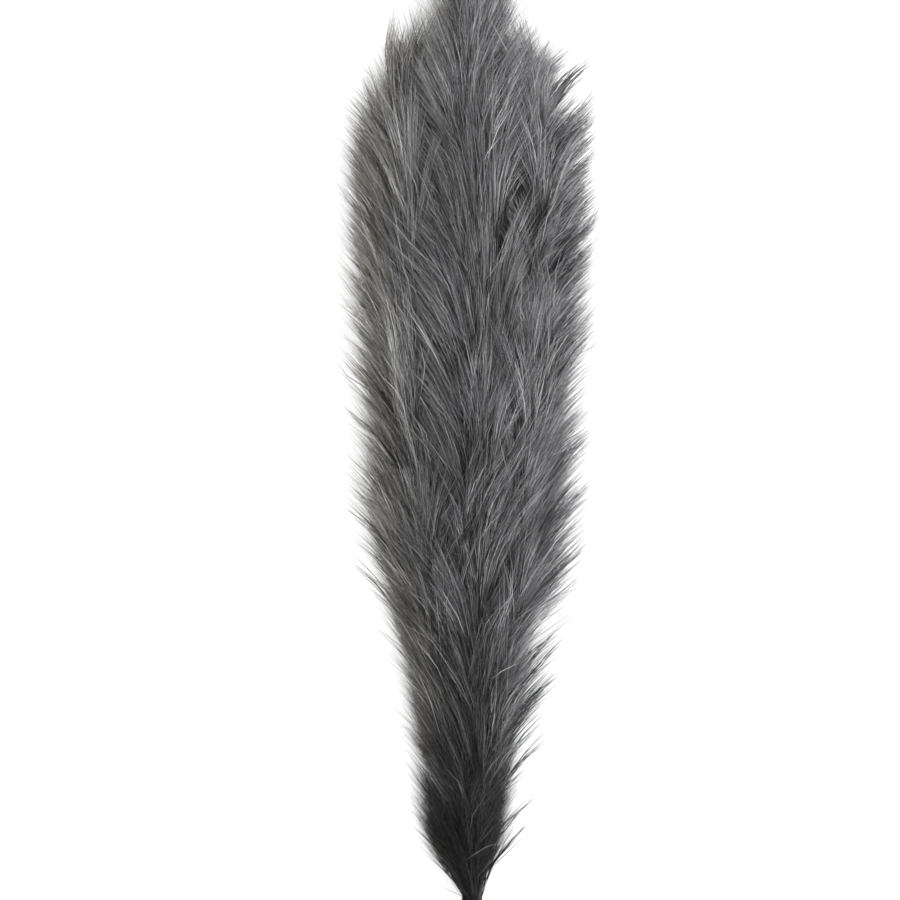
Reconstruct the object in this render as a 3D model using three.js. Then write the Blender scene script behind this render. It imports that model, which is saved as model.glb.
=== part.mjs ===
// A tied bundle of five dyed, dried pampas grass stalks, lying on its side on a table.
//
// Millimetres, +Z up. The stalks run along Y, with the cut ends at -Y and the feathery tips at +Y.
// Each stalk is a round stem that thins out into the plume's middle rib, side branches that stand
// off that rib one above another, and a tip tuft that carries on from its end. Branches and
// tufts are soft: each is a plain closed solid of the space that its hairs fill, and where a lower
// one lies on the table it is pressed flat. A wound twine with a knot holds the stalks together.
//
// Every solid that runs along the bundle is a stack of round sections, in planes across Y that all
// of them share, so two solids that are clear of each other in every plane are clear everywhere.
import * as THREE from 'three';

// ---- Stalks ----
const STEM_BELOW_TIE = 330; // cut ends to the middle of the tie
const CUT_END_RADIUS = 3.1;
const STEM_RADIUS = 2.7; // at the tie
const RIB_END_RADIUS = 1.0; // where the rib ends in the tip tuft
const CUT_END_SPLAY = 3.4; // how much wider the stalks stand at the cut ends than at the tie
const CUT_END_LIFT = 1.36; // and how much higher above each other
const TIE_HEIGHT = 24; // middle of the tie above the table
const CLEARANCE = 0.5; // least gap between neighbouring pieces

// side: how far the plume's tip lies to the right of the tie. height: how high its rib lies where
// the bundle is widest. reach: from the tie to the plume's tip. lag: over 1 for a stalk that stays
// close to its neighbours for longer before it swings out. turn: direction of its first branch.
// A branch's fullness goes with a half-wave: its lowest branch is LOWEST_BULK along that wave and
// its highest is top along it.
const STALKS = [
  { name: 'centre', side: 4, height: 88, reach: 965, lag: 1, turn: 0.1, branches: 12, top: 0.64 },
  { name: 'left', side: -73, height: 64, reach: 750, lag: 0.85, turn: 2.6, branches: 9, top: 0.75 },
  { name: 'right', side: 69, height: 60, reach: 750, lag: 1.3, turn: 5.2, branches: 9, top: 0.75 },
  { name: 'lower_left', side: -43, height: 27, reach: 740, lag: 0.85, turn: 1.5, branches: 9, top: 0.75 },
  { name: 'lower_right', side: 40, height: 27, reach: 725, lag: 1.3, turn: 3.9, branches: 9, top: 0.75 },
];
// How the ribs fan out above the tie: share of the reach, share of the side, share of the height.
const FAN = [
  [0.14, 0.14, 0.2],
  [0.28, 0.36, 0.6],
  [0.44, 0.63, 0.95],
  [0.62, 0.9, 1],
  [0.8, 0.96, 0.95],
  [1, 1, 0.8],
];

// ---- Branches and tip tufts ----
const FIRST_BRANCH = 25; // from the tie to the lowest branch
const CROWDING = 0.85; // under 1: the branches stand closer together towards the plume's tip
const BRANCH_LENGTH = 230;
const BRANCH_RADIUS = 15.5; // of the fullest branches, half-way up the plume
const LOWEST_BULK = 0.17;
const BRANCH_STANDOFF = 18; // a branch's end to its own rib, before its neighbours press on it
const TUFT_LENGTH = 200;
const TUFT_RADIUS = 20;
const GOLDEN_TURN = Math.PI * (3 - Math.sqrt(5)); // from each branch round to the next
const PRESSED = 0.8; // height of a branch's middle on the table, as a share of its radius

// ---- Tie ----
const TWINE = 2.4; // thickness
const TURNS = 6;
const KNOT = { width: 13, length: 9, height: 5 };
const TIE_HALF_SPAN = (TURNS * TWINE) / 2 + 13; // the stalks run side by side this far each way

// ---- Sections ----
const LEVEL = 25; // from each shared plane to the next
const SIDES = 8;
const SETTLING_ROUNDS = 200;
const MOST_PUSH = 1; // so that no piece is pushed through another
const SQUEEZE = 0.01; // how much thinner a soft piece gets with each push of the last rounds

const DYED_HAIR = new THREE.MeshStandardMaterial({ color: 0x6f6f72, roughness: 0.7, metalness: 0 });
const DYED_STEM = new THREE.MeshStandardMaterial({ color: 0x45433f, roughness: 0.6, metalness: 0 });
const JUTE = new THREE.MeshStandardMaterial({ color: 0x8a7350, roughness: 0.9, metalness: 0 });

const bundle = new THREE.Group();

function addPiece(name, geometry, material) {
  const mesh = new THREE.Mesh(geometry, material);
  mesh.name = name;
  bundle.add(mesh);
  return mesh;
}

// A solid from round sections {x, y, z, r}: a turned profile whose rings are each slid to their
// own middle. Whatever would go through the table is pressed flat on it.
function stackedSolid(sections) {
  const profile = sections.map((s) => new THREE.Vector2(s.r, s.y));
  const geometry = new THREE.LatheGeometry(profile, SIDES);
  const position = geometry.getAttribute('position');
  for (let i = 0; i < position.count; i++) {
    const section = sections[i % sections.length];
    const z = Math.max(0, position.getZ(i) + section.z);
    position.setXYZ(i, position.getX(i) + section.x, section.y, z);
  }
  return geometry;
}

// ---- Where the stalks pass through the tie ----
// They stand at the corners of a regular polygon, a clearance apart, with the centre one on top.
const cornerRadius = (STEM_RADIUS + CLEARANCE / 2) / Math.sin(Math.PI / STALKS.length);
const CORNER_ORDER = { centre: 0, left: 1, lower_left: 2, lower_right: 3, right: 4 };

function tieCorner(name) {
  const angle = Math.PI / 2 + (CORNER_ORDER[name] * 2 * Math.PI) / STALKS.length;
  return { x: cornerRadius * Math.cos(angle), z: cornerRadius * Math.sin(angle) };
}

const lowestCorner = Math.min(...STALKS.map((stalk) => tieCorner(stalk.name).z));

// The line that a stalk's middle follows, from its cut end through the tie and up its rib.
function stalkLine(stalk) {
  const corner = tieCorner(stalk.name);
  const cutEndZ = CUT_END_RADIUS + (corner.z - lowestCorner) * CUT_END_LIFT;
  const points = [
    new THREE.Vector3(corner.x * CUT_END_SPLAY, -STEM_BELOW_TIE, cutEndZ),
    new THREE.Vector3(corner.x, -TIE_HALF_SPAN, TIE_HEIGHT + corner.z),
    new THREE.Vector3(corner.x, TIE_HALF_SPAN, TIE_HEIGHT + corner.z),
  ];
  for (const [share, sideShare, heightShare] of FAN) {
    points.push(
      new THREE.Vector3(
        corner.x + (stalk.side - corner.x) * sideShare ** stalk.lag,
        stalk.reach * share,
        TIE_HEIGHT + corner.z + (stalk.height - TIE_HEIGHT - corner.z) * heightShare,
      ),
    );
  }
  const curve = new THREE.CatmullRomCurve3(points, false, 'centripetal');
  const samples = curve.getPoints(400);
  return (y) => {
    if (Math.abs(y) <= TIE_HALF_SPAN) return new THREE.Vector3(corner.x, y, TIE_HEIGHT + corner.z);
    let i = 1;
    while (i < samples.length - 1 && samples[i].y < y) i++;
    const [a, b] = [samples[i - 1], samples[i]];
    const share = THREE.MathUtils.clamp((y - a.y) / (b.y - a.y), 0, 1);
    return a.clone().lerp(b, share);
  };
}

const levelsUpTo = (y) => Math.round(y / LEVEL);

// A stalk thins evenly from its cut end to the tie, and from there to the end of its rib.
function stalkRadius(y, ribEnd) {
  if (y < 0) return THREE.MathUtils.lerp(STEM_RADIUS, CUT_END_RADIUS, -y / STEM_BELOW_TIE);
  return THREE.MathUtils.lerp(STEM_RADIUS, RIB_END_RADIUS, y / ribEnd);
}

function planStalk(stalk) {
  const line = stalkLine(stalk);
  const ribEndLevel = levelsUpTo(stalk.reach - TUFT_LENGTH);
  const cutEndLevel = levelsUpTo(-STEM_BELOW_TIE);
  const sections = [];
  for (let level = cutEndLevel; level <= ribEndLevel; level++) {
    const y = level === cutEndLevel ? -STEM_BELOW_TIE : level * LEVEL;
    const { x, z } = line(y);
    sections.push({ level, x, y, z, r: stalkRadius(y, ribEndLevel * LEVEL) });
  }
  return { ...stalk, line, ribEndLevel, sections };
}

// How full a branch is along its length, from 0 at its foot to 1 at its widest and 0 at its end.
function fullness(share) {
  return Math.sin(Math.PI * share ** 0.8) ** 0.75;
}

// A branch before it settles: its foot is on its rib, and it swings out from it towards its end.
function planBranch(stalk, index) {
  const upThePlume = index / (stalk.branches - 1);
  const lastFoot = stalk.reach - TUFT_LENGTH - LEVEL * 2;
  const foot = levelsUpTo(THREE.MathUtils.lerp(FIRST_BRANCH, lastFoot, upThePlume ** CROWDING));
  const end = foot + levelsUpTo(BRANCH_LENGTH * (1 - 0.1 * upThePlume));
  const turn = stalk.turn + index * GOLDEN_TURN;
  const bulk = Math.sin(Math.PI * THREE.MathUtils.lerp(LOWEST_BULK, stalk.top, upThePlume));
  const sections = [];
  for (let level = foot; level <= end; level++) {
    const share = (level - foot) / (end - foot);
    const y = level * LEVEL;
    const rib = stalk.line(y);
    const footOff = stalkRadius(y, stalk.ribEndLevel * LEVEL) + CLEARANCE * 2;
    const off = THREE.MathUtils.lerp(footOff, BRANCH_STANDOFF * bulk, Math.sin((Math.PI / 2) * share));
    const r = level === foot || level === end ? 0 : BRANCH_RADIUS * bulk * fullness(share);
    sections.push({ level, y, r, x: rib.x + off * Math.cos(turn), z: rib.z + off * Math.sin(turn) });
  }
  return { name: `${stalk.name}_branch_${index + 1}`, sections };
}

// The tuft goes on from the end of the rib, which its foot clears.
function planTuft(stalk) {
  const last = levelsUpTo(stalk.reach);
  const sections = [];
  for (let level = stalk.ribEndLevel; level <= last; level++) {
    const share = (level - stalk.ribEndLevel) / (last - stalk.ribEndLevel);
    const { x, z } = stalk.line(level * LEVEL);
    const y = level * LEVEL + (share === 0 ? CLEARANCE : 0);
    sections.push({ level, x, y, z, r: share === 0 || share === 1 ? 0 : TUFT_RADIUS * fullness(share) });
  }
  return { name: `${stalk.name}_tip_tuft`, sections };
}

// Moves piece a and piece b apart at some of their sections until they are clear, on average of
// those sections: one of each is a check in one plane, two of each are a check half-way between
// two planes. A stalk doesn't give way; a soft piece does, and it also gets thinner by the share
// that squeeze states.
function pressApart(aSections, bSections, squeeze) {
  const mean = (sections, key) => sections.reduce((sum, s) => sum + s[key], 0) / sections.length;
  const least = mean(aSections, 'r') + mean(bSections, 'r') + CLEARANCE * 2;
  const dx = mean(bSections, 'x') - mean(aSections, 'x');
  const dz = mean(bSections, 'z') - mean(aSections, 'z');
  const apart = Math.hypot(dx, dz) || 1e-6;
  if (apart >= least) return;
  const push = Math.min(least - apart, MOST_PUSH) / apart;
  const [aFixed, bFixed] = [aSections, bSections].map((sections) => sections.some((s) => s.fixed));
  if (aFixed && bFixed) return;
  const aShare = aFixed ? 0 : bFixed ? 1 : 0.5;
  for (const section of aSections) {
    section.x -= dx * push * aShare;
    section.z -= dz * push * aShare;
    if (!aFixed) section.r *= 1 - squeeze;
  }
  for (const section of bSections) {
    section.x += dx * push * (1 - aShare);
    section.z += dz * push * (1 - aShare);
    if (!bFixed) section.r *= 1 - squeeze;
  }
}

// Pairs of pieces that share planes, each pair with its first and last shared plane.
function neighboursOf(pieces) {
  const firstOf = (piece) => piece.sections[0].level;
  const lastOf = (piece) => firstOf(piece) + piece.sections.length - 1;
  const pairs = [];
  pieces.forEach((b, i) => {
    for (const a of pieces.slice(0, i)) {
      const from = Math.max(firstOf(a), firstOf(b));
      const to = Math.min(lastOf(a), lastOf(b));
      if (from <= to) pairs.push({ a, b, from, to });
    }
  });
  return pairs;
}

function pressPiecesApart(pairs, squeeze) {
  for (const { a, b, from, to } of pairs) {
    for (let level = from; level <= to; level++) {
      const [ia, ib] = [level - a.sections[0].level, level - b.sections[0].level];
      pressApart([a.sections[ia]], [b.sections[ib]], squeeze);
      if (level < to) {
        pressApart(a.sections.slice(ia, ia + 2), b.sections.slice(ib, ib + 2), squeeze);
      }
    }
  }
}

// The stalks come clear of each other outside the tie, and then keep their places.
function settleStalks(stalks) {
  for (const { sections } of stalks) {
    for (const section of sections) section.fixed = Math.abs(section.y) <= TIE_HALF_SPAN;
  }
  const pairs = neighboursOf(stalks);
  for (let round = 0; round < SETTLING_ROUNDS; round++) pressPiecesApart(pairs, 0);
  for (const { sections } of stalks) {
    for (const section of sections) section.fixed = true;
  }
}

// The soft pieces press on each other, on the stalks and on the table until nothing overlaps.
// They spring back straight between the rounds, but not in the last ones, where they are squeezed.
function settleSoftPieces(softPieces, stalks) {
  const pairs = neighboursOf([...softPieces, ...stalks]);
  for (let round = 0; round < SETTLING_ROUNDS; round++) {
    const springy = round < SETTLING_ROUNDS * 0.7;
    pressPiecesApart(pairs, springy ? 0 : SQUEEZE);
    for (const { sections } of softPieces) {
      for (const section of sections) section.z = Math.max(section.z, section.r * PRESSED);
    }
    if (springy) softPieces.forEach(straighten);
  }
}

// A branch is springy, so each of its sections is drawn towards the line between its neighbours.
function straighten({ sections }) {
  const STIFFNESS = 0.3;
  for (let i = 1; i < sections.length; i++) {
    const before = sections[i - 1];
    const here = sections[i];
    const after = sections[i + 1] || here;
    here.x += ((before.x + after.x) / 2 - here.x) * (after === here ? 0 : STIFFNESS);
    here.z += ((before.z + after.z) / 2 - here.z) * (after === here ? 0 : STIFFNESS);
  }
}

const stalks = STALKS.map(planStalk);
const softPieces = [];
for (const stalk of stalks) {
  for (let index = 0; index < stalk.branches; index++) softPieces.push(planBranch(stalk, index));
  softPieces.push(planTuft(stalk));
}
settleStalks(stalks);
settleSoftPieces(softPieces, stalks);

for (const { name, sections } of stalks) {
  const first = { ...sections[0], r: 0 };
  const last = { ...sections[sections.length - 1], r: 0 };
  addPiece(`${name}_stem`, stackedSolid([first, ...sections, last]), DYED_STEM);
}
for (const { name, sections } of softPieces) addPiece(name, stackedSolid(sections), DYED_HAIR);

// ---- Tie: turns of twine pulled tight round the stalks, and the knot on top of them ----
// The outline is straight from stalk to stalk and round over each of them.
function tieOutline(outline, grow) {
  const step = (2 * Math.PI) / STALKS.length;
  for (let i = 0; i < STALKS.length; i++) {
    const middle = Math.PI / 2 + i * step;
    const x = cornerRadius * Math.cos(middle);
    const z = cornerRadius * Math.sin(middle);
    outline.absarc(x, z, STEM_RADIUS + grow, middle - step / 2, middle + step / 2, false);
  }
  return outline;
}

const tieShape = tieOutline(new THREE.Shape(), CLEARANCE + TWINE);
tieShape.holes.push(tieOutline(new THREE.Path(), CLEARANCE));
const tieWidth = TURNS * TWINE;
const tie = new THREE.ExtrudeGeometry(tieShape, {
  depth: tieWidth,
  bevelEnabled: false,
  curveSegments: 4,
});
tie.rotateX(Math.PI / 2);
tie.translate(0, tieWidth / 2, TIE_HEIGHT);
addPiece('tie', tie, JUTE);

const knot = new THREE.SphereGeometry(0.5, 12, 8);
knot.scale(KNOT.width, KNOT.length, KNOT.height);
const tieTop = TIE_HEIGHT + cornerRadius + STEM_RADIUS + CLEARANCE + TWINE;
knot.translate(0, 0, tieTop + CLEARANCE + KNOT.height / 2);
addPiece('tie_knot', knot, JUTE);

// The origin is on the table, under the middle of the whole bundle.
const extent = new THREE.Box3().setFromObject(bundle);
const middle = extent.getCenter(new THREE.Vector3());
bundle.position.set(-middle.x, -middle.y, -extent.min.z);

export default bundle;
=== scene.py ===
"""A tied bundle of dyed, dried pampas grass lying on its side on a pale table, seen from above.

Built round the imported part, in metres, in the same frame: +Y runs from the cut ends to the
plumes' tips, +Z is up. The sections follow the bundle as it is put together: the stalks, the
hair of their plumes, the twine that ties them, and then the table, the light and the camera.
"""

import math

import bpy
import numpy as np
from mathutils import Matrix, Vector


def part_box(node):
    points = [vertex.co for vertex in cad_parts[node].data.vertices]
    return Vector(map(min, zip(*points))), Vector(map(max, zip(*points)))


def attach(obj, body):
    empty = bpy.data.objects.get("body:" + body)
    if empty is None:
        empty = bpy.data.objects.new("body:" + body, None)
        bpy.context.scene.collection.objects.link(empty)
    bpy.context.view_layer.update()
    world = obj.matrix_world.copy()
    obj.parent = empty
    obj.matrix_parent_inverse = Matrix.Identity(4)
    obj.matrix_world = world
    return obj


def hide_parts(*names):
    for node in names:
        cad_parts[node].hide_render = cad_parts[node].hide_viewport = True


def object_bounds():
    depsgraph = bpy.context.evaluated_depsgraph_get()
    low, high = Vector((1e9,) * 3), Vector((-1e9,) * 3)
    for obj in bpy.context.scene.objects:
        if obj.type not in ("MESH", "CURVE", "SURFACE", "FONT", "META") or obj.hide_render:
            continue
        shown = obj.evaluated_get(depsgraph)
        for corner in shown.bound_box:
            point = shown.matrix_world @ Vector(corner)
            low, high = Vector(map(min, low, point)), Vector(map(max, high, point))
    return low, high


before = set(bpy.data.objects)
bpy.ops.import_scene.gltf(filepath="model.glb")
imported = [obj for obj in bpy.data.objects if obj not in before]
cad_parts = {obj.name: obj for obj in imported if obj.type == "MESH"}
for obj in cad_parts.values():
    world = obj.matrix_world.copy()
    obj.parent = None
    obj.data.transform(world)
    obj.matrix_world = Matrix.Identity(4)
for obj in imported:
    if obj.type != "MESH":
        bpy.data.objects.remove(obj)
CAD_BOX = [list(corner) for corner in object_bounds()]
MM = 0.001

# ---- Stalks -------------------------------------------------------------------------------------
# Each stalk is a round, dry grass stem, dyed with its plume, that thins out into the plume's
# middle rib. It is cut straight across at its lower end, and has a low swelling at each joint.

STALKS = ("centre", "left", "right", "lower_left", "lower_right")
STALK_SIDES = 20
JOINT_SPACING = 118 * MM
JOINT_SWELLING = 0.09
JOINT_SHARPNESS = 40  # how short a swelling is, beside the distance between two
STALK_STEPS = 260
STALK_DARK = "161616"
STALK_LIGHT = "3a3937"
TINY = 1e-9


def linear(hex_colour):
    """sRGB hex to linear RGBA: x / 12.92 below 0.04045, else ((x + 0.055) / 1.055) ^ 2.4."""
    srgb = np.array([int(hex_colour[i : i + 2], 16) / 255 for i in (0, 2, 4)])
    rgb = np.where(srgb <= 0.04045, srgb / 12.92, ((srgb + 0.055) / 1.055) ** 2.4)
    return (*rgb.tolist(), 1.0)


def add_node(tree, kind, settings=None, links=None):
    """Adds a node of a kind to a material's tree, with its settings, and with links into its inputs.

    A setting whose key is an input's name or number sets that input; any other sets a property.
    """
    node = tree.nodes.new("ShaderNode" + kind)
    for key, value in (settings or {}).items():
        if isinstance(key, int) or key in node.inputs:
            node.inputs[key].default_value = value
        else:
            setattr(node, key, value)
    for key, output in (links or {}).items():
        tree.links.new(output, node.inputs[key])
    return node


def new_material(name):
    """An empty node material, and its tree."""
    material = bpy.data.materials.new(name)
    material.use_nodes = True
    material.node_tree.nodes.clear()
    return material, material.node_tree


def set_ramp(node, stops):
    """Gives a Color Ramp node its stops, as (position, sRGB hex)."""
    elements = node.color_ramp.elements
    while len(elements) < len(stops):
        elements.new(1.0)
    for element, (position, colour) in zip(elements, stops):
        element.position = position
        element.color = linear(colour)
    return node


def node_line(name):
    """Middle line and radius of a CAD node made of round sections across Y.

    Its corners are grouped by Y. In each group the radius is half the width, the middle is half-way
    across, and a radius below the top, because a section that lies on the table is flat below.
    """
    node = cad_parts[name]
    corners = np.empty(len(node.data.vertices) * 3)
    node.data.vertices.foreach_get("co", corners)
    matrix = np.array(node.matrix_world)
    corners = corners.reshape(-1, 3) @ matrix[:3, :3].T + matrix[:3, 3]
    levels, group = np.unique(np.round(corners[:, 1], 5), return_inverse=True)
    low = np.full((len(levels), 3), np.inf)
    high = np.full((len(levels), 3), -np.inf)
    np.minimum.at(low, group, corners)
    np.maximum.at(high, group, corners)
    radius = (high[:, 0] - low[:, 0]) / 2
    middle = np.stack([(high[:, 0] + low[:, 0]) / 2, levels, high[:, 2] - radius], axis=1)
    return middle, radius


def along(line, y):
    """Points of a middle line at the given Y, straight from one of its own points to the next."""
    y = np.clip(y, line[0, 1], line[-1, 1])
    return np.stack([np.interp(y, line[:, 1], line[:, 0]), y, np.interp(y, line[:, 1], line[:, 2])], -1)


def unit(vectors):
    """Vectors divided by their own lengths."""
    return vectors / np.maximum(np.linalg.norm(vectors, axis=-1, keepdims=True), TINY)


def new_piece(name, points, triangles, material, uv=None, uv_name="surface", smooth=True):
    """A mesh object at the origin, from arrays of points and triangles, with a UV layer if given."""
    mesh = bpy.data.meshes.new(name)
    mesh.vertices.add(len(points))
    mesh.vertices.foreach_set("co", np.asarray(points, np.float32).ravel())
    mesh.loops.add(triangles.size)
    mesh.loops.foreach_set("vertex_index", triangles.astype(np.int32).ravel())
    mesh.polygons.add(len(triangles))
    mesh.polygons.foreach_set("loop_start", np.arange(0, triangles.size, 3, dtype=np.int32))
    mesh.polygons.foreach_set("use_smooth", np.full(len(triangles), smooth))
    if uv is not None:
        for layer in (uv_name, "OFBake"):
            mesh.uv_layers.new(name=layer).data.foreach_set("uv", uv.astype(np.float32).ravel())
    mesh.update(calc_edges=True)
    mesh.materials.append(material)
    piece = bpy.data.objects.new(name, mesh)
    bpy.context.scene.collection.objects.link(piece)
    return piece


def across_path(path, guide):
    """Two unit vectors across a path at each of its points: tangent x guide, and that x tangent."""
    tangent = unit(np.gradient(path, axis=0))
    across = unit(np.cross(tangent, guide))
    return across, np.cross(across, tangent)


def tube(path, radius, sides, guide=(0.0, 0.0, 1.0)):
    """A closed tube: rings of points round each point of a path, and a middle point at each end.

    Ring point k is the path point plus radius times (cos a, sin a) in the plane across the path,
    a = 2 pi k / sides. The path nowhere runs along the guide. Returns points and triangles, facing
    outwards.
    """
    radius = np.broadcast_to(radius, len(path))
    across, up = across_path(path, guide)
    angle = np.arange(sides) * 2 * np.pi / sides
    rings = (
        path[:, None]
        + radius[:, None, None] * np.cos(angle)[None, :, None] * across[:, None]
        + radius[:, None, None] * np.sin(angle)[None, :, None] * up[:, None]
    )
    points = np.concatenate([rings.reshape(-1, 3), path[:1], path[-1:]])
    here = np.arange(sides)
    there = (here + 1) % sides
    rows = np.arange(len(path) - 1)[:, None] * sides
    a, b, c, d = rows + here, rows + there, rows + sides + there, rows + sides + here
    side = np.concatenate([np.stack([a, c, b], -1), np.stack([a, d, c], -1)], axis=1).reshape(-1, 3)
    last = (len(path) - 1) * sides
    start_cap = np.stack([here, there, np.full(sides, len(points) - 2)], -1)
    end_cap = np.stack([last + there, last + here, np.full(sides, len(points) - 1)], -1)
    return points, np.concatenate([side, start_cap, end_cap])


def stem_material():
    """Dyed dry stem: dark, smooth and waxy, with fine grooves along it and blotches of weaker dye."""
    material, tree = new_material("dyed_dry_grass_stem")
    place = add_node(tree, "TexCoord")
    stretched = add_node(
        tree, "Mapping", {"Scale": (1400.0, 14.0, 1400.0)}, {"Vector": place.outputs["Object"]}
    )
    grooves = add_node(tree, "TexNoise", {"Scale": 1.0, "Detail": 3.0}, {"Vector": stretched.outputs[0]})
    blotches = add_node(
        tree, "TexNoise", {"Scale": 22.0, "Detail": 2.0}, {"Vector": place.outputs["Object"]}
    )
    mixed = add_node(
        tree,
        "Math",
        {"operation": "MULTIPLY_ADD", 1: 0.55},
        {0: grooves.outputs["Fac"], 2: blotches.outputs["Fac"]},
    )
    colour = add_node(tree, "ValToRGB", links={"Fac": mixed.outputs[0]})
    set_ramp(colour, [(0.45, STALK_DARK), (1.0, STALK_LIGHT)])
    bump = add_node(
        tree, "Bump", {"Strength": 0.35, "Distance": 0.0003}, {"Height": grooves.outputs["Fac"]}
    )
    surface = add_node(
        tree,
        "BsdfPrincipled",
        {"Roughness": 0.6, "Specular IOR Level": 0.25},
        {"Base Color": colour.outputs["Color"], "Normal": bump.outputs["Normal"]},
    )
    add_node(tree, "OutputMaterial", links={"Surface": surface.outputs[0]})
    return material


stem_finish = stem_material()
rib_lines, rib_radii = {}, {}
for stalk in STALKS:
    line, radius = node_line(f"{stalk}_stem")
    rib_lines[stalk], rib_radii[stalk] = line, radius
    y = np.linspace(line[0, 1], line[-1, 1], STALK_STEPS)
    path = along(line, y)
    past_joint = ((y - line[0, 1]) % JOINT_SPACING) / JOINT_SPACING - 0.5
    swell = np.exp(-((past_joint * JOINT_SHARPNESS) ** 2))
    body = np.interp(y, line[1:-1, 1], radius[1:-1]) * (1 + JOINT_SWELLING * swell)
    stem = new_piece(f"{stalk}_stalk", *tube(path, body, STALK_SIDES), stem_finish)
    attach(stem, "root")
    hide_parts(f"{stalk}_stem")

# ---- Plumes -------------------------------------------------------------------------------------
# A plume is a rib with thin side branches all round it, and each of these carries sprays of long
# fine hair. The hairs start close along the branch and bend away from it towards their tips. They
# cling together in locks. They are dyed grey, and darker near the tie, from thicker dye there and
# from painted shade where they are dense, darkest in the middle where the plumes meet. Painted
# shade also darkens their roots deep among the locks, and painted light makes them paler at the
# bundle's sides.

TIE_CENTRE = np.mean(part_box("tie"), axis=0)
GOLDEN_TURN = np.pi * (3 - 5**0.5)

# Sprays along a branch, and the roots of their locks.
SPRAY_SPACING = 30 * MM
FEWEST_SPRAYS = 4
SPRAY_START = 0.25  # of the spacing, from a branch's foot to its first spray
SPRAY_SCATTER = 0.4  # of the spacing, along the branch
FIRST_TURN = 7.0  # radians, the most that a branch's first spray is turned
SPRAY_WIDTH = 0.8  # radians, round the branch
HAIRY_SHARE = 0.76  # of a branch, from its foot; the rest of it is hair alone
BEFORE_FOOT = 0.04  # of a branch, that its hair starts before it
ROOT_SPREAD = 1.1  # of a branch's radius
LEAST_RADIUS = 3 * MM  # of a branch, for its roots
ROOT_ROOM = 0.88  # of the bundle's space; a root outside it is drawn in
DRAWN_IN = 0.4  # of its distance from the branch
HAIR_ABOVE_TIE = 8 * MM
NEAR_TIE = 30 * MM  # a branch whose foot is this close above it starts at the tie
COLLAR = 0.16  # of a lowest branch's locks, that stand close above the tie
COLLAR_HEIGHT = 7 * MM

# Locks, and the hairs in them.
LOCKS_IN_BRANCH = (210, 400)  # on one deep inside the bundle, and on one on its outside
EXPOSURE_RANGE = (0.44, 0.84)  # how far out a branch is, from deep inside to on the outside
HAIRS_IN_LOCK = 9
HAIR_LENGTH = (60 * MM, 118 * MM)
LENGTH_IN_LOCK = (0.74, 1.08)  # of the lock's own length, for its hairs
LOCK_WIDTH = 0.8 * MM  # at the root
LOCK_SPREAD = 2.6 * MM  # at the tips
ROOT_SLIDE = 8 * MM  # either way along the lock
STRAY_HAIRS = 0.045
STRAY_SPREAD = 13 * MM
HAIR_BOW = (0.1, 0.35)  # of a hair's length, for how strongly it bends outwards
BOW_SCATTER = 2.5 * MM
CRINKLE = 0.55 * MM
HAIR_RADIUS = 0.31 * MM
THICKNESS_RANGE = (0.65, 1.3)
MIDDLE_THICKNESS = 1.1
EDGE_THINNESS = 0.2  # less of that, at the bundle's sides
WISP_THICKNESS = 1.15
STIFF_HAIRS = 0.012
STIFF_THICKNESS = 1.5
# Along a hair: where its rings are, and how thick it is there. It starts and ends in a point.
RING_AT = np.array([0.0, 0.1, 0.6, 1.0])
RING_SIZE = np.array([0.0, 1.0, 0.75, 0.0])
NO_HAIRS_WAY = (0.13, 0.21, 1.0)
TONES = 48  # columns of its UV map, from black to the palest, for grey hairs and again for warm
COLUMN_MARGIN = 0.1  # of a column

# How the locks lean away from their rib, in degrees from straight along the bundle.
LEAN = (5.0, 36.0)  # close to a rib, and how much more for a lock far out from it
LEAN_DISTANCE = 26 * MM
LEAN_SCATTER = (6.0, 7.0)  # between sprays, and between the locks of a spray
FLARE = 10.0  # more of it at the tie
FLARE_LENGTH = 110 * MM
LEAN_AT_SIDE = 14.0  # more of it, at most, for sprays at the bundle's sides
SPLAY_POWER = 1.5  # most of those sprays take little of it
TOP_STRAIGHTER = 0.2  # less of it at the top of a plume
# At the bundle's sides, how strongly each stalk's hair is pushed away from the bundle's middle.
BUNDLE_PUSH = dict(zip(STALKS, np.array([16, 3, 22, 14, 24]) * MM))
SPRAY_PUSH = 8 * MM
SAG = (1.0, 1.0, 0.45)  # hair sags, so it leans less upwards than sideways
DRIFT = 4 * MM  # how strongly a plume's hair is combed to one side, and the other way further up
DRIFT_LENGTH = 560 * MM
DRIFT_TURN = (-1.7, 1.3)  # radians at the tie, for the first stalk, and more for each next one
# How strongly all the hair is combed to the right, at distances from the tie.
COMBED_AT = np.array([60, 110, 240, 300, 550, 740]) * MM
COMBED = np.array([-6, -14, -15, 0, -17, 4]) * MM

# Wisps are thin locks at the bundle's sides that stand out past the others.
WISPS = 0.24  # of the locks there
WISP_ZONE = (0.3, 0.8)  # of the square of the way to a side: no wisps before it, all of them after
WISP_REACH = 0.58  # of its length, sideways
WISP_RISE = 0.62  # of its length, along the bundle
WISP_SPREAD = 2.3 * MM
WISP_MARGIN = (11 * MM, 36 * MM)
SPLAY_MARGIN = 8 * MM

# The bundle's space, which the tips stay in. How far they stand out from the branches at its left,
# right and top, at distances from the tie.
PROUD_AT = np.array([0, 60, 200, 430, 560, 800]) * MM
PROUD_LEFT = np.array([14, 28, 18, 16, 16, 18]) * MM
PROUD_RIGHT = np.array([8, 10, 10, 9, -12, 15]) * MM
PROUD_TOP = 4 * MM
SPACE_USED = (0.78, 0.97)  # of that space
WIDEST_AT = 0.45  # of its height
CROWN = 0.8  # how early it narrows above that
STEP = 12 * MM  # along the bundle
FIT_STEPS = 20
ROOT_STEPS = 14  # of those, in which a lock whose tip is outside moves its root inwards
ROOT_STEP = 2.2 * MM
REACH_STEP = 0.95  # and draws its tip in to this share
LAST_REACH_STEP = 0.8  # or, in the last steps, to this one
RISE_STEP = 0.05
SHORTEST = 30 * MM  # that a hair is drawn in to, along the bundle
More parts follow.
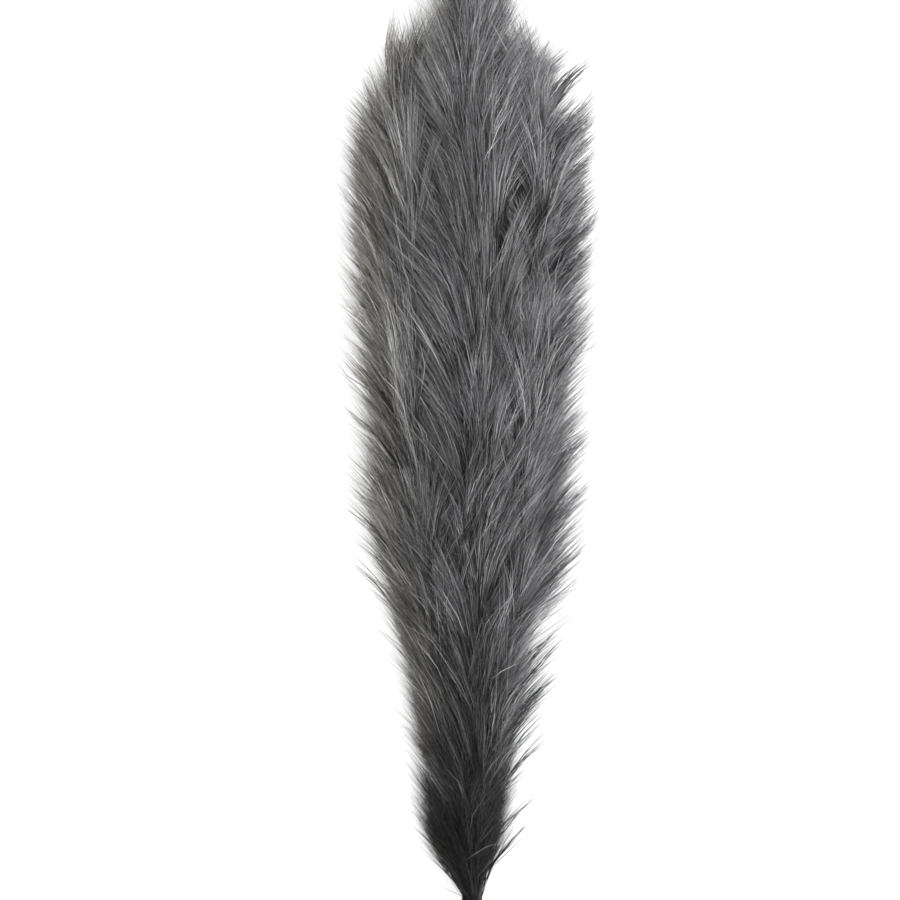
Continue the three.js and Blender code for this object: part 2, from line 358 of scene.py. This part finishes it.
# The room that no hair leaves. Near its end, over a skin, hairs are pressed closer together.
TABLE_CLEARANCE = 0.3 * MM
TABLE_SKIN = 3 * MM
ROOM_SKIN = 5 * MM
SIDE_LIMIT = max(-CAD_BOX[0][0], CAD_BOX[1][0]) + 14 * MM
TIP_LIMIT = CAD_BOX[1][1] + 30 * MM
TOP_LIMIT = CAD_BOX[1][2] + 10 * MM
SHORT_OF_LIMIT = (3 * MM, 0.3)  # at the least, and a share of how much smaller the margin is

random = np.random.default_rng(7)


def soft_limit(value, limit, skin):
    """Value where it is under limit - skin; above, it closes in on limit and never reaches it."""
    over = np.maximum(value - (limit - skin), 0)
    return np.where(value > limit - skin, limit - skin * np.exp(-over / skin), value)


def keep_in_room(points):
    """Presses hairs flat on the table, and in from the sides, the top and the end of their room."""
    x, y, z = points[..., 0], points[..., 1], points[..., 2]
    x = np.sign(x) * soft_limit(np.abs(x), SIDE_LIMIT, ROOM_SKIN)
    y = soft_limit(y, TIP_LIMIT, ROOM_SKIN)
    z = -soft_limit(-z, -TABLE_CLEARANCE, TABLE_SKIN)
    z = soft_limit(z, TOP_LIMIT, ROOM_SKIN)
    return np.stack([x, y, z], axis=-1)


def hair_mesh(root, chord, bow, thickness, tone, warm):
    """Closed three-sided hairs, each from its root to its tip.

    A hair's point at share t is root + chord t + bow (t^2 - t), kept in its room. Round it go three
    points, thickness times RING_SIZE away, a third of a turn apart. U is the hair's tone column, a
    third of it for each side, and V is t. The columns of the warm hairs come after all the others.
    """
    count = len(root)
    t = RING_AT[None, :, None]
    spine = root[:, None] + chord[:, None] * t + bow[:, None] * (t**2 - t)
    spine[:, 1:-1] += random.normal(0, CRINKLE, (count, len(RING_AT) - 2, 3))
    spine = keep_in_room(spine)
    across = unit(np.cross(chord, NO_HAIRS_WAY))
    over = np.cross(across, unit(chord))
    turn = np.arange(3) * 2 * np.pi / 3
    ring = across[:, None] * np.cos(turn)[None, :, None] + over[:, None] * np.sin(turn)[None, :, None]
    size = thickness[:, None] * RING_SIZE[None, 1:-1]
    rings = spine[:, 1:-1, None] + size[:, :, None, None] * ring[:, None]
    points = np.concatenate([spine[:, :1], rings.reshape(count, -1, 3), spine[:, -1:]], axis=1)

    ring_count = len(RING_AT) - 2
    tip = 1 + 3 * ring_count
    faces, marks = [], []
    for k in range(3):
        n = (k + 1) % 3
        lo, hi = k / 3, (k + 1) / 3
        faces.append([0, 1 + n, 1 + k])
        marks.append([[lo, 0], [hi, RING_AT[1]], [lo, RING_AT[1]]])
        for r in range(ring_count - 1):
            a, b, v, w = 1 + 3 * r, 4 + 3 * r, RING_AT[1 + r], RING_AT[2 + r]
            faces += [[a + k, a + n, b + n], [a + k, b + n, b + k]]
            marks += [[[lo, v], [hi, v], [hi, w]], [[lo, v], [hi, w], [lo, w]]]
        a = tip - 3
        faces.append([a + k, a + n, tip])
        marks.append([[lo, RING_AT[-2]], [hi, RING_AT[-2]], [hi, 1]])
    faces, marks = np.array(faces), np.array(marks, float)
    triangles = faces[None] + (np.arange(count) * points.shape[1])[:, None, None]
    column = np.clip((tone * TONES).astype(int), 0, TONES - 1) + warm * TONES
    uv = np.broadcast_to(marks[None], (count, *marks.shape)).copy()
    in_column = COLUMN_MARGIN + (1 - 2 * COLUMN_MARGIN) * uv[..., 0]
    uv[..., 0] = (column[:, None, None] + in_column) / (2 * TONES)
    return points.reshape(-1, 3), triangles.reshape(-1, 3), uv.reshape(-1, 2)


branch_lines = {}
for name in sorted(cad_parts):
    if "_branch_" in name or name.endswith("_tip_tuft"):
        branch_lines[name] = node_line(name)

# How far the whole bundle reaches to the left, to the right and up, at steps along it, smoothed.
STEP_AT = np.arange(CAD_BOX[0][1], CAD_BOX[1][1] + 5 * STEP, STEP)
NOT_THERE = 0.1
SMOOTHING = np.hanning(13) / np.hanning(13).sum()
spans = []
for line, radius in [*branch_lines.values(), *zip(rib_lines.values(), rib_radii.values())]:
    here = (STEP_AT > line[0, 1] - STEP) & (STEP_AT < line[-1, 1] + STEP)
    middle, size = along(line, STEP_AT), np.interp(STEP_AT, line[:, 1], radius)
    reaches = [middle[:, 0] - size, -middle[:, 0] - size, -middle[:, 2] - size]
    spans.append(np.where(here, reaches, NOT_THERE))
spans = np.min(spans, axis=0)
PADDING = len(SMOOTHING) // 2
LEFT, RIGHT, TOP = (np.convolve(np.pad(span, PADDING, "edge"), SMOOTHING, "valid") for span in spans)
LEFT = LEFT - np.interp(STEP_AT - TIE_CENTRE[1], PROUD_AT, PROUD_LEFT)
RIGHT = -RIGHT + np.interp(STEP_AT - TIE_CENTRE[1], PROUD_AT, PROUD_RIGHT)
TOP = -TOP + PROUD_TOP


def aside(points):
    """How far points are across the bundle there: -1 at its left side, 0 half-way, 1 at its right."""
    left, right = (np.interp(points[:, 1], STEP_AT, edge) for edge in (LEFT, RIGHT))
    return (points[:, 0] - (left + right) / 2) / ((right - left) / 2)


def outside(points, share, margin):
    """Whether points are outside the bundle's space: half an ellipse over the table in each plane.

    It is as wide as from LEFT to RIGHT and as high as TOP there, times the share, plus the margin.
    It ends short of SIDE_LIMIT, by less the larger the margin is.
    """
    left, right, top = (np.interp(points[:, 1], STEP_AT, edge) for edge in (LEFT, RIGHT, TOP))
    across = (points[:, 0] - (left + right) / 2) / ((right - left) / 2 * share + margin)
    up = (points[:, 2] - top * WIDEST_AT) / (top * (1 - WIDEST_AT) * share + margin)
    short_of_it = SHORT_OF_LIMIT[0] + (WISP_MARGIN[1] - margin) * SHORT_OF_LIMIT[1]
    too_wide = np.abs(points[:, 0]) > SIDE_LIMIT - short_of_it
    return too_wide | (across**2 + np.where(up > 0, up, 0) ** 2 * CROWN > 1)


def root_locks(stalk, line, radius, locks):
    """Roots of a branch's locks, the direction in which each stands off it, and each one's spray.

    Sprays stand along the branch, each a golden turn round from the last, and a lock's root is off
    the branch's middle by up to ROOT_SPREAD times its radius. Some of a lowest branch's locks stand
    close above the tie.
    """
    foot, last = line[0, 1], line[-1, 1]
    tie_top = TIE_CENTRE[1] + HAIR_ABOVE_TIE
    first = tie_top if foot < tie_top + NEAR_TIE else foot
    sprays = max(FEWEST_SPRAYS, round((last - first) / SPRAY_SPACING))
    spray = random.integers(0, sprays, locks)
    share = (spray + SPRAY_START + random.normal(0, SPRAY_SCATTER, locks)) / sprays * HAIRY_SHARE
    y = first + (last - first) * np.clip(share, -BEFORE_FOOT, HAIRY_SHARE)
    at_tie = (first == tie_top) & (random.random(locks) < COLLAR)
    in_collar = tie_top + random.uniform(0, COLLAR_HEIGHT, locks)
    y = np.where(at_tie, in_collar, np.maximum(y, tie_top))
    side = random.random() * FIRST_TURN + spray * GOLDEN_TURN + random.normal(0, SPRAY_WIDTH, locks)
    own = np.stack([np.cos(side), np.zeros(locks), np.sin(side)], axis=1)
    start = np.where(y[:, None] < foot, along(rib_lines[stalk], y), along(line, y))
    width = np.maximum(np.interp(y, line[:, 1], radius)[:, None], LEAST_RADIUS)
    root = start + own * width * ROOT_SPREAD * random.random((locks, 1)) ** 0.5
    drawn_in = start + (root - start) * DRAWN_IN
    return np.where(outside(root, ROOT_ROOM, 0)[:, None], drawn_in, root), own, spray, sprays


def lean_locks(stalk, root, own, spray, sprays):
    """Roots, tips and bows of locks, and which of them are wisps.

    A lock leans away from its stalk's rib, more the further out it stands, and more sideways than
    up, because it sags. The bundle's own shape, its spray and the combing push it aside. Where its
    tip would leave the bundle's space, which some locks fill more than others, its root moves
    inwards and its reach is drawn in, step by step. The bow makes it leave gently and bend at the
    tip.
    """
    locks = len(root)
    rib, y = rib_lines[stalk], root[:, 1]
    above_tie = y - TIE_CENTRE[1]
    turn = 2 * np.pi * above_tie / DRIFT_LENGTH + DRIFT_TURN[0] + DRIFT_TURN[1] * STALKS.index(stalk)
    combed = np.interp(above_tie, COMBED_AT, COMBED) + DRIFT * np.sin(turn)
    combed = combed + BUNDLE_PUSH[stalk] * aside(root)
    flow = (root - along(rib, y)) * [1, 0, 1] + own * SPRAY_PUSH + combed[:, None] * [1, 0, 0]
    distance = np.linalg.norm(flow * SAG, axis=1)
    outward = unit(flow * SAG)

    length = random.uniform(*HAIR_LENGTH, locks)
    sideways = np.clip(aside(root) ** 2, 0, 1)
    up_plume = np.clip(above_tie / (rib[-1, 1] - TIE_CENTRE[1]), 0, 1.1) ** 2
    splay = random.random(sprays)[spray] ** SPLAY_POWER * sideways
    lean = LEAN[0] + LEAN[1] * (1 - np.exp(-distance / LEAN_DISTANCE))
    lean = lean * (1 - TOP_STRAIGHTER * up_plume * (1 - sideways)) + LEAN_AT_SIDE * splay
    lean = lean + FLARE * np.exp(-above_tie / FLARE_LENGTH)
    lean = lean + random.normal(0, LEAN_SCATTER[0], sprays)[spray]
    lean = np.radians(lean + random.normal(0, LEAN_SCATTER[1], locks))
    reach, rise = length * np.sin(lean), length * np.cos(lean)
    wisp = random.random(locks) < WISPS * np.interp(sideways, WISP_ZONE, (0, 1))
    reach, rise = np.where(wisp, [length * WISP_REACH, length * WISP_RISE], [reach, rise])
    space = np.where(wisp, 1.0, random.uniform(*SPACE_USED, locks))
    margin = np.where(wisp, random.uniform(*WISP_MARGIN, locks), SPLAY_MARGIN * splay)
    for step in range(FIT_STEPS):
        tip = root + outward * reach[:, None] + rise[:, None] * [0, 1, 0]
        too_far = outside(tip, space, margin)
        past_middle = aside(root) * outward[:, 0] < 0
        inwards = np.where(too_far & ~past_middle & (step < ROOT_STEPS), ROOT_STEP, 0)
        root = root - inwards[:, None] * outward * [1, 0, 0]
        reach_step = REACH_STEP if step < ROOT_STEPS else LAST_REACH_STEP
        reach = np.where(too_far, reach * reach_step, reach)
        rise = np.where(too_far & (rise > SHORTEST), rise * (1 - RISE_STEP * sideways), rise)
    bow = outward * length[:, None] * random.uniform(*HAIR_BOW, (locks, 1))
    return root, tip, bow, wisp


def for_each_hair(values):
    """Values of locks, repeated for each of their hairs."""
    return np.repeat(values, HAIRS_IN_LOCK, axis=0)


def split_locks(root, tip, bow, wisp):
    """Roots, chords and bows of the hairs in locks.

    They start close together, some of them further along the lock, and spread a little to their
    tips. A few stray far from it.
    """
    n = len(root) * HAIRS_IN_LOCK
    spread = np.where(for_each_hair(wisp), WISP_SPREAD, LOCK_SPREAD)
    spread = np.where(random.random(n) < STRAY_HAIRS, STRAY_SPREAD, spread)[:, None]
    slide = random.uniform(-ROOT_SLIDE, ROOT_SLIDE, (n, 1)) * unit(for_each_hair(tip - root))
    hair_root = for_each_hair(root) + slide + random.normal(0, LOCK_WIDTH, (n, 3))
    chord = for_each_hair(tip - root) * random.uniform(*LENGTH_IN_LOCK, (n, 1))
    chord = chord + random.normal(0, 1, (n, 3)) * spread
    return hair_root, chord, for_each_hair(bow) + random.normal(0, BOW_SCATTER, (n, 3))


# How dark the dye is: a hair's tone, from 0, black, to 1, the palest.
TONE = 0.5
TONE_SCATTER = (0.26, 0.5)  # between locks, as a share of it, and how much more of that at the tie
SPRAY_TONE_SCATTER = 0.09
HAIR_TONE_SCATTER = 0.2
TIE_SCATTER = 0.35  # of the last, that is left at the tie
# Painted shade with real dye: near the tie the hair is darker, from thicker dye and from painted shade
# where it is dense, and darker still in the bundle's middle, as painted shade where the plumes meet.
TONE_DEPTH = 200 * MM  # over about this length from the tie, the hair turns from dark to pale
DEPTH_IN_MIDDLE = 1.6  # times that, in the middle of the bundle
DEPTH_LOST_AT_SIDE = 1.05
# how sharply that dye and painted shade fade away from the tie
DYE_AND_SHADE_POWER = 1.15
# painted light: hairs at the bundle's sides are made paler, where light shows through them
EDGE_PAINTED_LIGHT = 0.05
WISP_TONE = 0.8
STIFF_PALENESS = 0.15
WARM_FROM = 0.35  # of the way from the bundle's middle to its left side, and on
WARM_SHARE = 0.85  # of the hairs at its left side


def grow_hairs(stalk, line, radius, locks):
    """Roots, chords, bows, thicknesses, tones and warmths of the hairs round a branch.

    A hair's tone is its lock's, made paler at the bundle's sides as painted light, times the share
    (1 - exp(-distance from the tie / depth)) by which it darkens towards the tie, where the depth is
    less at the bundle's sides. That dark is partly thicker dye and partly painted shade, of the dense
    hair near the tie and, deepest, where the plumes meet in the middle. Hairs at its left side are
    often warm.
    """
    root, own, spray, sprays = root_locks(stalk, line, radius, locks)
    above_tie = root[:, 1] - TIE_CENTRE[1]
    root, tip, lock_bow, wisp = lean_locks(stalk, root, own, spray, sprays)
    hair_root, chord, bow = split_locks(root, tip, lock_bow, wisp)
    n = len(hair_root)

    across = aside(hair_root + chord)
    at_edge = np.where(for_each_hair(wisp), 0, np.clip(across**2, 0, 1.2))
    thickness = random.uniform(*THICKNESS_RANGE, n) * (MIDDLE_THICKNESS - EDGE_THINNESS * at_edge)
    thickness = HAIR_RADIUS * thickness * np.where(for_each_hair(wisp), WISP_THICKNESS, 1)
    stiff = random.random(n) < STIFF_HAIRS
    thickness = np.where(stiff, HAIR_RADIUS * STIFF_THICKNESS, thickness)
    warm = random.random(n) < WARM_SHARE * (-across - WARM_FROM) / (1 - WARM_FROM)

    near_tie = np.exp(-above_tie / TONE_DEPTH)
    uneven = random.normal(0, 1, locks) * (TONE_SCATTER[0] + TONE_SCATTER[1] * near_tie)
    tone = TONE * np.exp(uneven + random.normal(0, SPRAY_TONE_SCATTER, sprays)[spray])
    tone = for_each_hair(np.where(wisp, WISP_TONE * tone, tone))
    # Painted light: paler hairs at the bundle's sides.
    tone = tone + EDGE_PAINTED_LIGHT * at_edge + STIFF_PALENESS * stiff
    # Painted shade and dye: the hair darkens towards the tie, deepest in the bundle's middle, where the
    # plumes meet.
    depth = TONE_DEPTH * (DEPTH_IN_MIDDLE - DEPTH_LOST_AT_SIDE * np.clip(np.abs(across), 0, 1))
    dye_and_shade_fade = 1 - np.exp(-for_each_hair(above_tie) / depth)
    scatter = HAIR_TONE_SCATTER * (TIE_SCATTER + (1 - TIE_SCATTER) * dye_and_shade_fade)
    tone = tone * dye_and_shade_fade**DYE_AND_SHADE_POWER + random.normal(0, 1, n) * scatter
    return hair_root, chord, bow, thickness, np.clip(tone, 0.01, 0.99), warm


GREY_STOPS = [(0.0, "080809"), (0.3, "5e5e60"), (0.6, "979799"), (1.0, "e0e0e2")]
WARM_STOPS = [(0.0, "0a0908"), (0.3, "605c55"), (0.6, "9c978d"), (1.0, "e4e0d8")]
# Painted shade: each hair is darker at its root, deep among the locks, and paler to its tip.
ROOT_SHADE_STOPS = [(0.0, "5c5c5c"), (0.25, "b0b0b0"), (0.6, "e8e8e8"), (1.0, "f4f4f4")]


def hair_material():
    """Dyed plume hair: dry and soft, with a silky edge, darker at the root as painted shade deep among
    the locks, and paler to the tip.

    Over the first half of U lie the tones of the grey hairs, and over the second half those of the
    warm ones. Fine noise along the hairs makes the dye and the roughness uneven.
    """
    material, tree = new_material("dyed_pampas_hair_with_painted_shade")
    strand = add_node(tree, "UVMap", {"uv_map": "strand"})
    parts = add_node(tree, "SeparateXYZ", links={0: strand.outputs[0]})
    twice = add_node(tree, "Math", {"operation": "MULTIPLY", 1: 2.0}, {0: parts.outputs["X"]})
    column = add_node(tree, "Math", {"operation": "FRACT"}, {0: twice.outputs[0]})
    warm = add_node(tree, "Math", {"operation": "GREATER_THAN", 1: 1.0}, {0: twice.outputs[0]})
    stretched = add_node(tree, "Mapping", {"Scale": (290.0, 11.0, 1.0)}, {"Vector": strand.outputs[0]})
    uneven = add_node(tree, "TexNoise", {"Scale": 1.0, "Detail": 2.0}, {"Vector": stretched.outputs[0]})
    shift = add_node(
        tree, "Math", {"operation": "MULTIPLY_ADD", 1: 0.5, 2: -0.25}, {0: uneven.outputs["Fac"]}
    )
    tone = add_node(tree, "Math", {"operation": "ADD"}, {0: column.outputs[0], 1: shift.outputs[0]})
    grey_dye = add_node(tree, "ValToRGB", links={"Fac": tone.outputs[0]})
    set_ramp(grey_dye, GREY_STOPS)
    warm_dye = add_node(tree, "ValToRGB", links={"Fac": tone.outputs[0]})
    set_ramp(warm_dye, WARM_STOPS)
    dye = add_node(
        tree,
        "Mix",
        {"data_type": "RGBA"},
        {0: warm.outputs[0], 6: grey_dye.outputs["Color"], 7: warm_dye.outputs["Color"]},
    )
    # painted shade at the roots of the hairs
    root_shade = add_node(tree, "ValToRGB", links={"Fac": parts.outputs["Y"]})
    set_ramp(root_shade, ROOT_SHADE_STOPS)
    dye_with_root_shade = add_node(
        tree,
        "Mix",
        {"data_type": "RGBA", "blend_type": "MULTIPLY", 0: 1.0},
        {6: dye.outputs[2], 7: root_shade.outputs["Color"]},
    )
    rough = add_node(
        tree, "Math", {"operation": "MULTIPLY_ADD", 1: 0.25, 2: 0.4}, {0: uneven.outputs["Fac"]}
    )
    surface = add_node(
        tree,
        "BsdfPrincipled",
        {"Specular IOR Level": 0.12, "Sheen Weight": 0.05, "Sheen Roughness": 0.4},
        {"Base Color": dye_with_root_shade.outputs[2], "Roughness": rough.outputs[0]},
    )
    add_node(tree, "OutputMaterial", links={"Surface": surface.outputs[0]})
    return material


plume_hair = hair_material()

for name, (line, radius) in branch_lines.items():
    stalk = name.rsplit("_branch_", 1)[0].removesuffix("_tip_tuft")
    height = line[:, 2] / np.interp(line[:, 1], STEP_AT, TOP)
    exposure = np.max([np.abs(aside(line)), height], axis=0).mean()
    locks = round(np.interp(exposure, EXPOSURE_RANGE, LOCKS_IN_BRANCH))
    points, triangles, uv = hair_mesh(*grow_hairs(stalk, line, radius, locks))
    plume = new_piece(f"{name}_hair", points, triangles, plume_hair, uv, "strand")
    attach(plume, "root")
    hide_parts(name)

# ---- Tie ----------------------------------------------------------------------------------------
# Coarse plant-fibre twine of three strands, wound tightly round the stalks and knotted on top of
# them. Its loose fibres stand off it, and its two short tails are frayed.

TWINE_RADIUS = 1.2 * MM
TURNS = 6
STRANDS = 3
STRAND_RADIUS = 0.62 * MM
STRAND_SIDES = 8
TWIST = 6.5 * MM  # along the twine for each whole turn of its strands
TWINE_STEP = 0.45 * MM
TWINE_CLEARANCE = 0.4 * MM  # to the stalks
TURN_STEPS = 90
TAIL = 26 * MM
LOOSE_FIBRES = 260  # on each length of twine
FIBRE_RADIUS = 0.06 * MM
FIBRE_LENGTH = 5 * MM
FIBRE_SHARE = (0.4, 1.1)  # of that length
FIBRE_SLOPE = (0.2, 0.8)  # how far it stands off the twine, for each step along it
FIBRE_ROOT = 0.8  # of the twine's radius, from its middle
TWINE_DARK = "54432c"
TWINE_LIGHT = "b39a6e"


def even_steps(path, step):
    """Points at even steps along a path."""
    travelled = np.concatenate([[0], np.cumsum(np.linalg.norm(np.diff(path, axis=0), axis=1))])
    at = np.linspace(0, travelled[-1], max(2, round(travelled[-1] / step)))
    return np.stack([np.interp(at, travelled, path[:, i]) for i in range(3)], axis=1)


def twine(path, guide):
    """Twisted twine along a path: three strands, strand j a third of a turn round from the last.

    A strand's middle is the path point plus STRAND_RADIUS times (cos a, sin a) across the path,
    a = 2 pi (distance / TWIST + j / 3). Loose fibres leave it sideways at random places.
    """
    path = even_steps(path, TWINE_STEP)
    across, up = across_path(path, guide)
    parts = []
    for j in range(STRANDS):
        turn = 2 * np.pi * (np.arange(len(path)) * TWINE_STEP / TWIST + j / STRANDS)[:, None]
        strand = path + STRAND_RADIUS * (np.cos(turn) * across + np.sin(turn) * up)
        parts.append(tube(strand, STRAND_RADIUS, STRAND_SIDES, guide))
    at = random.integers(0, len(path) - 1, LOOSE_FIBRES)
    turn = random.uniform(0, 2 * np.pi, (LOOSE_FIBRES, 1))
    sideways = np.cos(turn) * across[at] + np.sin(turn) * up[at]
    heading = unit(path[at + 1] - path[at]) * random.choice([-1, 1], (LOOSE_FIBRES, 1))
    chord = (sideways * random.uniform(*FIBRE_SLOPE, (LOOSE_FIBRES, 1)) + heading) * FIBRE_LENGTH
    chord = chord * random.uniform(*FIBRE_SHARE, (LOOSE_FIBRES, 1))
    thickness = np.full(LOOSE_FIBRES, FIBRE_RADIUS)
    flat = np.zeros(LOOSE_FIBRES, int)
    root = path[at] + sideways * TWINE_RADIUS * FIBRE_ROOT
    parts.append(hair_mesh(root, chord, chord * 0, thickness, flat, flat)[:2])
    return parts


def joined(parts):
    """One array of points and one of triangles, from several."""
    firsts = np.cumsum([0] + [len(points) for points, _ in parts[:-1]])
    triangles = [part[1] + first for part, first in zip(parts, firsts)]
    return np.concatenate([points for points, _ in parts]), np.concatenate(triangles)


def twine_material():
    """Dry plant fibre: dull straw brown, in fine streaks that run mostly along the twine's strands."""
    material, tree = new_material("twisted_plant_fibre_twine")
    place = add_node(tree, "TexCoord")
    streaks = add_node(
        tree, "TexNoise", {"Scale": 900.0, "Detail": 3.0}, {"Vector": place.outputs["Object"]}
    )
    patches = add_node(
        tree, "TexNoise", {"Scale": 90.0, "Detail": 2.0}, {"Vector": place.outputs["Object"]}
    )
    mixed = add_node(
        tree,
        "Math",
        {"operation": "MULTIPLY_ADD", 1: 0.7},
        {0: streaks.outputs["Fac"], 2: patches.outputs["Fac"]},
    )
    colour = add_node(tree, "ValToRGB", links={"Fac": mixed.outputs[0]})
    set_ramp(colour, [(0.55, TWINE_DARK), (1.0, TWINE_LIGHT)])
    bump = add_node(
        tree, "Bump", {"Strength": 0.6, "Distance": 0.0002}, {"Height": streaks.outputs["Fac"]}
    )
    surface = add_node(
        tree,
        "BsdfPrincipled",
        {"Roughness": 0.85, "Sheen Weight": 0.2},
        {"Base Color": colour.outputs["Color"], "Normal": bump.outputs["Normal"]},
    )
    add_node(tree, "OutputMaterial", links={"Surface": surface.outputs[0]})
    return material


twine_finish = twine_material()

# Round the stalks, which are all about as thick there: a straight line from each outer one to the
# next, and an arc over each.
stalk_places = np.array([along(rib, np.array([TIE_CENTRE[1]]))[0] for rib in rib_lines.values()])
stem_radius = np.interp(TIE_CENTRE[1], rib_lines["lower_right"][:, 1], rib_radii["lower_right"])
turn = np.linspace(0, 2 * np.pi * TURNS, TURN_STEPS * TURNS) + np.pi / 2
facing = np.stack([np.cos(turn), np.zeros(len(turn)), np.sin(turn)], axis=1)
outermost = stalk_places[np.argmax(facing @ stalk_places.T, axis=1)]
winding = outermost + facing * (stem_radius + TWINE_CLEARANCE + TWINE_RADIUS)
winding[:, 1] = TIE_CENTRE[1] + (np.linspace(0, 1, len(turn)) - 0.5) * (TURNS - 1) * 2 * TWINE_RADIUS
wound = new_piece("wound_twine", *joined(twine(winding, (0.0, 1.0, 0.0))), twine_finish)

# The knot: twine in a flattened three-lobed loop, x = sin t + 2 sin 2t, y = cos t - 2 cos 2t and
# z = -1.6 sin 3t, fitted to its box, with two tails that leave it sideways and droop.
KNOT_STEPS = 240
KNOT_REACH = np.array([2.76, 3.0, 1.6])  # the furthest that those formulas go
KNOT_INSET = TWINE_RADIUS * np.array([1.0, 1.0, 0.6])
TAIL_STEPS = 60
TAIL_START = 0.3  # of the way from the knot's middle to its side
knot_box = np.array(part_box("tie_knot"))
knot_centre, knot_half = knot_box.mean(axis=0), (knot_box[1] - knot_box[0]) / 2
t = np.linspace(0, 2 * np.pi, KNOT_STEPS)
lobes = np.stack([np.sin(t) + 2 * np.sin(2 * t), np.cos(t) - 2 * np.cos(2 * t), -np.sin(3 * t) * 1.6], 1)
lobes = knot_centre + lobes / KNOT_REACH * (knot_half - KNOT_INSET)
knot_parts = twine(lobes, (0.0, 0.0, 1.0))
t = np.linspace(0, 1, TAIL_STEPS)[:, None]
for way in (-1, 1):
    tail = knot_centre + [way * knot_half[0] * TAIL_START, 0, 0] + TAIL * (
        t * [way * 0.62, -0.5, 0.12] + t**2 * [way * 0.1, -0.1 * way, -0.45]
    )
    knot_parts += twine(tail, (0.0, 0.0, 1.0))
knot = new_piece("knot_with_tails", *joined(knot_parts), twine_finish)
for piece, node in ((wound, "tie"), (knot, "tie_knot")):
    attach(piece, "root")
    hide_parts(node)

# ---- Table, light and camera --------------------------------------------------------------------
# A plain pale table top under large, soft lights, looked down on from straight above.

TABLE_SIZE = 6.0
TABLE_COLOUR = "f4f4f4"
VIEW_HEIGHT = 80 * MM  # of the level at which the view is VIEW_WIDTH wide
VIEW_WIDTH = 750 * MM
VIEW_CENTRE = TIE_CENTRE[:2] + [-20 * MM, 395 * MM]
LENS = 100.0  # mm, and so is the next
SENSOR = 36.0

table_finish, tree = new_material("matt_pale_laminate")
surface = add_node(tree, "BsdfPrincipled", {"Base Color": linear(TABLE_COLOUR), "Roughness": 0.8})
add_node(tree, "OutputMaterial", links={"Surface": surface.outputs[0]})
half = TABLE_SIZE / 2
corners = np.array([[-half, -half, 0], [half, -half, 0], [half, half, 0], [-half, half, 0]])
table = new_piece("table_top", corners, np.array([[0, 1, 2], [0, 2, 3]]), table_finish)

world = bpy.data.worlds.new("studio")
world.use_nodes = True
world.node_tree.nodes["Background"].inputs["Color"].default_value = (1.0, 1.0, 1.0, 1.0)
world.node_tree.nodes["Background"].inputs["Strength"].default_value = 1.0
bpy.context.scene.world = world


def soft_light(name, place, size, power):
    """A square area light of a size in metres, at a place, turned towards the plumes' middle."""
    data = bpy.data.lights.new(name, "AREA")
    data.size, data.energy = size, power
    light = bpy.data.objects.new(name, data)
    light.location = place
    aim = np.array([0.0, 0.1, 0.05]) - np.array(place)
    heading = math.atan2(aim[1], aim[0])
    tilt = math.acos(-aim[2] / np.linalg.norm(aim))
    light.rotation_euler = (tilt, 0.0, heading - math.pi / 2)
    bpy.context.scene.collection.objects.link(light)


soft_light("key_light", (1.3, 0.6, 2.4), 1.5, 62.0)
soft_light("fill_light", (-1.5, -0.2, 2.2), 2.0, 44.0)

camera_data = bpy.data.cameras.new("camera")
camera_data.lens, camera_data.sensor_width = LENS, SENSOR
camera = bpy.data.objects.new("camera", camera_data)
camera.location = (*VIEW_CENTRE, VIEW_HEIGHT + VIEW_WIDTH * LENS / SENSOR)
camera.rotation_euler = (0.0, 0.0, 0.0)
bpy.context.scene.collection.objects.link(camera)
bpy.context.scene.camera = camera
bpy.context.scene.view_settings.view_transform = "Standard"
